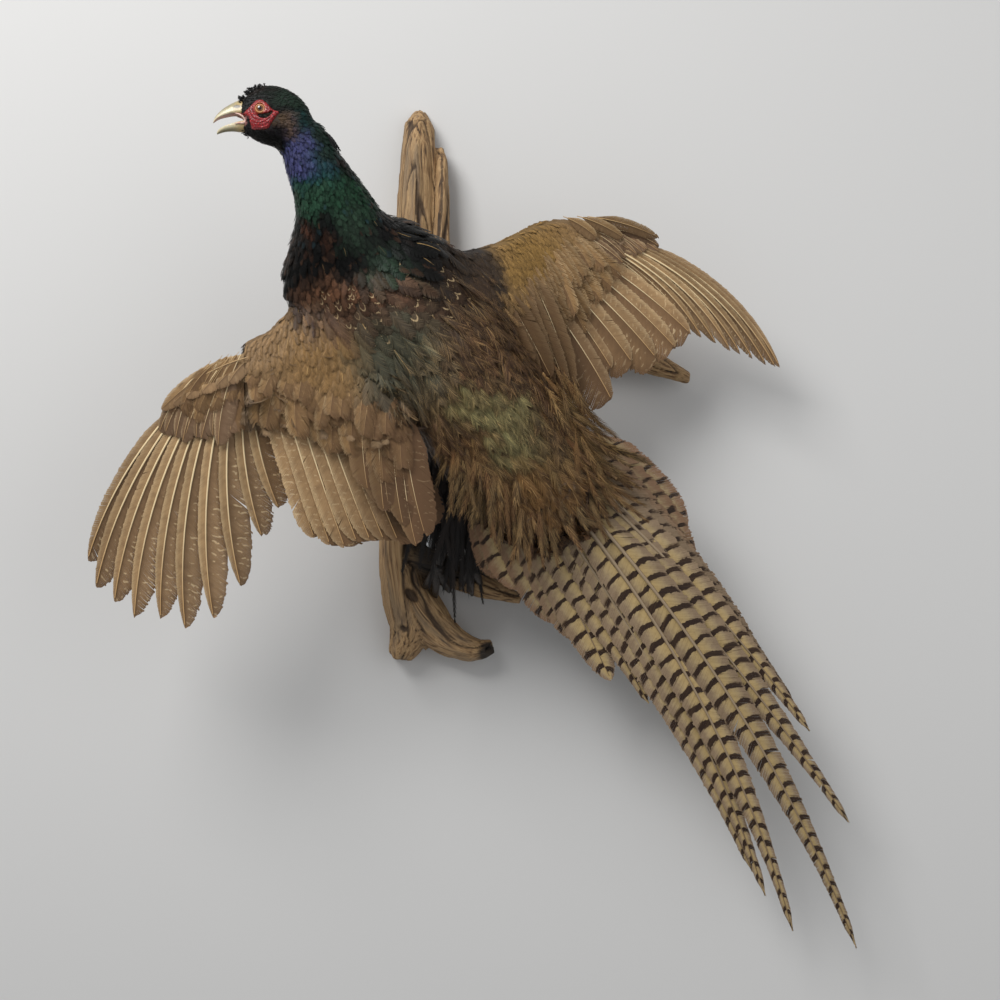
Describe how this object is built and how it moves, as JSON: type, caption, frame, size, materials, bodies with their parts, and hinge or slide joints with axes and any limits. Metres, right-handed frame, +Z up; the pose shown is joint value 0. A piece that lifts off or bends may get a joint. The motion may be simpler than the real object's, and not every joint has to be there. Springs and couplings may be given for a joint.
{
  "type": "taxidermy pheasant on driftwood",
  "caption": "Life-size mounted dark-form pheasant cock in flight, wings spread and tail trailing, seen from its back and held off a wall by a piece of driftwood with a flat back.",
  "frame": {"origin": "middle of the driftwood's flat back, on the plane of the wall", "axes": "+Y into the wall, so the viewer's side is -Y; +Z up; +X to the viewer's right"},
  "size_m": [0.6752, 0.2589, 0.7794],
  "materials": {
    "head_plumage": "short glossy feathers, blue-black to dark green, with bare red skin about the eye",
    "neck_plumage": "glossy scale-like feathers, violet-blue above, green and black below",
    "back_plumage": "long soft feathers, dark brown and rust with an olive-green sheen on the rump",
    "wing_coverts": "overlapping covert feathers, golden brown with pale shafts",
    "flight_feathers": "stiff satin feathers, buff brown with pale shafts and flecks",
    "tail_feathers": "long satin feathers, olive buff with narrow black bars",
    "thigh_plumage": "soft dark brown feathers",
    "leg_scales": "dry scaly skin, grey-brown",
    "bill": "smooth pale horn",
    "eye": "polished glass eye, amber brown with a black pupil",
    "driftwood": "dry weathered wood with long dark cracks along the grain"
  },
  "bodies": {
    "root": {"head": "head_plumage", "eye_left": "eye", "eye_right": "eye", "bill_upper": "bill", "bill_lower": "bill", "neck_upper": "neck_plumage", "neck_lower": "neck_plumage", "trunk": "back_plumage", "wing_left_arm": "wing_coverts", "wing_left_primaries": "flight_feathers", "wing_left_secondaries": "flight_feathers", "wing_right_arm": "wing_coverts", "wing_right_primaries": "flight_feathers", "wing_right_secondaries": "flight_feathers", "tail_fan": "tail_feathers", "tail_middle_left": "tail_feathers", "tail_middle_right": "tail_feathers", "thigh_left": "thigh_plumage", "shank_left": "leg_scales", "foot_left": "leg_scales", "thigh_right": "thigh_plumage", "shank_right": "leg_scales", "foot_right": "leg_scales", "driftwood": "driftwood"}
  },
  "joints": []
}
